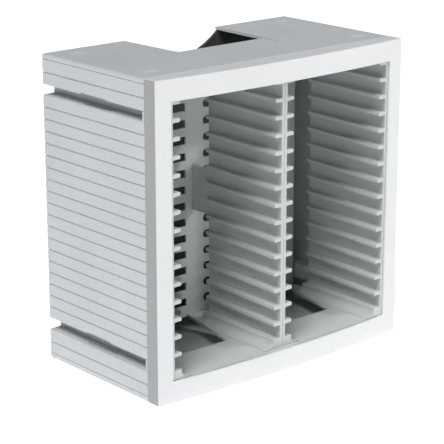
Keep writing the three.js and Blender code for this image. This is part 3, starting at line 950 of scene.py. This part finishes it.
def grille():
    """The plate behind both bays, with a window behind each slot."""
    side = INNER_HALF + INNER_SKIN - GAP
    plate = rectangle(-side, side, SLOT_FLOOR - INNER_SKIN, SLOT_CEILING + INNER_SKIN)
    shapes = [rounded(plate, GRILLE_CORNER)]
    left, right = WINDOW_LEFT_CORNER, WINDOW_RIGHT_CORNER
    for k in range(SLOTS):
        low, high = rail_top(k), rail_top(k) + WINDOW_HEIGHT
        for x0, x1 in ((WINDOW_START, WINDOW_END), (-WINDOW_END, -WINDOW_START)):
            corners = [(x0, low, left), (x1, low, right), (x1, high, right), (x0, high, left)]
            shapes.append(rounded(corners, steps=WIDE_STEPS))
    piece = prism("back_grille_plate", shapes, GRILLE_FRONT, GRILLE_FRONT + GRILLE, rim=GRILLE_RIM)
    finish_piece(piece, INSERT_PLASTIC, "back_grille")


def bay_plan():
    """Plan of the floor and ceiling plates, whose front follows the bow behind the lip."""
    side = INNER_HALF + INNER_SKIN
    across = [side * (2 * k / BOW_STEPS - 1) for k in range(BOW_STEPS + 1)]
    front = [(x, LIP + GAP - bow(x)) for x in across]
    return front + [(side, BAY_END), (-side, BAY_END)]


def bay_plate(name, low):
    """A floor or ceiling plate whose underside is at height low."""
    return prism(name, [bay_plan()], low, low + INNER_SKIN, "Z", rim=BREAK)


def floor_openings():
    """Cutters for the tapered opening in each bay, through the floor and the fillets of the ledges."""
    widen = (OPENING_BACK_WIDTH - OPENING_FRONT_WIDTH) / (GRILLE_FRONT - OPENING_FRONT)
    back = BAY_END + OVER
    front_half = OPENING_FRONT_WIDTH / 2
    back_half = (OPENING_FRONT_WIDTH + widen * (back - OPENING_FRONT)) / 2
    middle = (INNER_HALF + DIVIDER / 2) / 2
    cuts = []
    for x in (-middle, middle):
        corners = [(x - front_half, OPENING_FRONT, OPENING_CORNER),
                   (x + front_half, OPENING_FRONT, OPENING_CORNER),
                   (x + back_half, back), (x - back_half, back)]
        shape = rounded(corners, steps=WIDE_STEPS)
        cuts.append(prism("opening", [shape], SLOT_FLOOR - OVER, LEDGE_TOP - LEDGE_EDGE, "Z", rim=0))
    return cuts


def bay_floor():
    piece = bay_plate("floor_tray", SLOT_FLOOR - INNER_SKIN)
    combine(piece, floor_openings(), "DIFFERENCE")
    soften(piece, FLOOR_SOFT_EDGE, FLOOR_SOFT_STEPS)
    finish_piece(piece, INSERT_PLASTIC, "bay_floor")


def bays():
    """The two bays: outer rail walls, divider halves, grille, floor and ceiling."""
    wall = rail_wall("left_rails", INNER_SKIN, -INNER_HALF - INNER_SKIN)
    other = mirrored(wall, "right_rails")
    finish_piece(wall, INSERT_PLASTIC, "left_rail_wall")
    finish_piece(other, INSERT_PLASTIC, "right_rail_wall")
    half = rail_wall("divider_right_rails", (DIVIDER - GAP) / 2, GAP / 2)
    web = rounded(rectangle(GAP / 2 + SEAM, DIVIDER / 2 - SEAM, WEB_LOW, WEB_HIGH), BREAK)
    combine(half, [prism("web", [web], RAIL_END - OVER, BAY_END, rim=BREAK)], "UNION")
    other = mirrored(half, "divider_left_rails")
    finish_piece(half, INSERT_PLASTIC, "divider_right_half")
    finish_piece(other, INSERT_PLASTIC, "divider_left_half")
    grille()
    bay_floor()
    finish_piece(bay_plate("ceiling_tray", SLOT_CEILING), INSERT_PLASTIC, "bay_ceiling")


# ---------------------------------------------------------------- stage, light and camera


def floor():
    """A plain pale floor that glows a little, so that it stays near white."""
    bm = bmesh.new()
    for x, y in rectangle(-1, 1, -1, 1):
        bm.verts.new((x * FLOOR_HALF, y * FLOOR_HALF, 0))
    bm.faces.new(bm.verts)
    ground = mesh_object("floor", bm)
    material = bpy.data.materials.new("floor_paper")
    material.use_nodes = True
    shader = material.node_tree.nodes["Principled BSDF"]
    shader.inputs["Base Color"].default_value = (FLOOR_TONE, FLOOR_TONE, FLOOR_TONE, 1)
    shader.inputs["Roughness"].default_value = FLOOR_ROUGHNESS
    shader.inputs["Specular IOR Level"].default_value = FLOOR_SPECULAR
    shader.inputs["Emission Color"].default_value = WHITE
    shader.inputs["Emission Strength"].default_value = FLOOR_GLOW
    ground.data.materials.append(material)


def hang(light, location, target):
    """Puts a light at a place and turns it to a target."""
    lamp = scene_object(light.name, light)
    lamp.location = location
    lamp.rotation_euler = (target - location).to_track_quat("-Z", "Y").to_euler()


def lights():
    """A small key light from the right and a broad sun from the upper left."""
    key = bpy.data.lights.new("key", "AREA")
    key.shape = "SQUARE"
    key.size = KEY_SIZE
    key.energy = KEY_POWER
    hang(key, KEY_PLACE, Vector((0, 0, HEIGHT / 2 * MM)))
    sun = bpy.data.lights.new("window_light", "SUN")
    sun.energy = SUN_STRENGTH
    sun.angle = math.radians(SUN_SPREAD)
    hang(sun, SUN_PLACE, Vector((0, 0, 0)))


def sky():
    """A dim sky that lights the rack, and a white one that only the camera sees."""
    world = bpy.data.worlds.new("studio")
    world.use_nodes = True
    tree = world.node_tree
    background = tree.nodes["Background"]
    background.inputs["Color"].default_value = SKY_COLOUR
    background.inputs["Strength"].default_value = SKY_STRENGTH
    backdrop = shader_node(tree, "ShaderNodeBackground", Strength=1, Color=WHITE)
    rays = shader_node(tree, "ShaderNodeLightPath")
    mix = shader_node(tree, "ShaderNodeMixShader")
    tree.links.new(rays.outputs["Is Camera Ray"], mix.inputs[0])
    tree.links.new(background.outputs[0], mix.inputs[1])
    tree.links.new(backdrop.outputs[0], mix.inputs[2])
    tree.links.new(mix.outputs[0], tree.nodes["World Output"].inputs["Surface"])
    bpy.context.scene.world = world


def camera():
    """Looks at the aim point from the front left, a little from above."""
    turn, drop = math.radians(AZIMUTH), math.radians(-ELEVATION)
    forward = Vector((-math.sin(turn) * math.cos(drop), math.cos(turn) * math.cos(drop), math.sin(drop)))
    data = bpy.data.cameras.new("camera")
    data.lens = LENS
    data.sensor_width = SENSOR
    view = scene_object("camera", data)
    view.location = (AIM_POINT - forward * DISTANCE) * MM
    view.rotation_euler = (math.pi / 2 + drop, 0, turn)
    bpy.context.scene.camera = view


# ---------------------------------------------------------------- build

camera()
front_frame()
top_panel()
bottom_panel()
feet()
sides()
rear_cover()
screws()
bays()
floor()
lights()
sky()
bpy.context.scene.view_settings.view_transform = "Standard"
